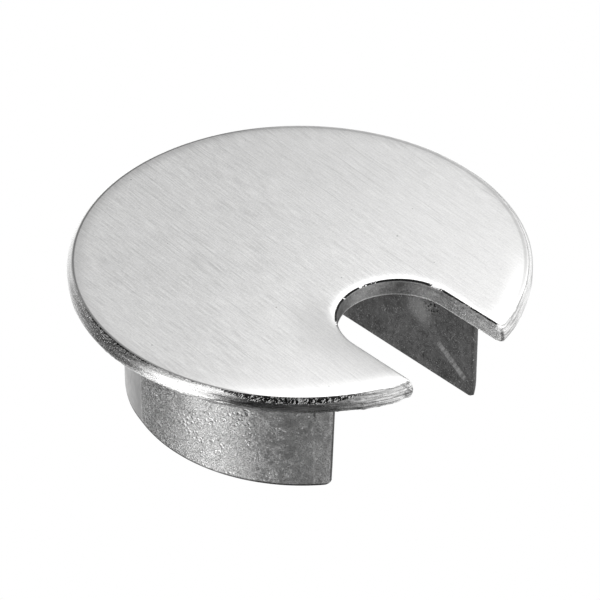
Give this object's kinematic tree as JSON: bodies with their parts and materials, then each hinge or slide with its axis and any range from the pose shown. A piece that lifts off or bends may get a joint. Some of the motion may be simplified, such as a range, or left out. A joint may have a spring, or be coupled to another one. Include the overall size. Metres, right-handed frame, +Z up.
{
  "type": "desk grommet",
  "caption": "Round metal desk grommet: a flanged cover with a rounded cable notch open to the rim, above a split collar that drops into a round desk hole.",
  "frame": {"origin": "middle of the cover's underside, on the axis of the desk hole, level with the desktop", "axes": "+Z up out of the desktop; the cable notch opens towards -Y; +X to the right seen from the notch side"},
  "size_m": [0.078, 0.0764, 0.025],
  "materials": {
    "brushed_zinc": "zinc casting, nickel look, ground and brushed along the notch on top, coarsely ground rim",
    "cast_zinc": "zinc casting left as cast, bright grey, fine grain with sparkling pits"
  },
  "bodies": {
    "root": {"cover_disc": "brushed_zinc", "left_collar_wall": "cast_zinc", "right_collar_wall": "cast_zinc", "left_channel_wall": "cast_zinc", "right_channel_wall": "cast_zinc"}
  },
  "joints": []
}
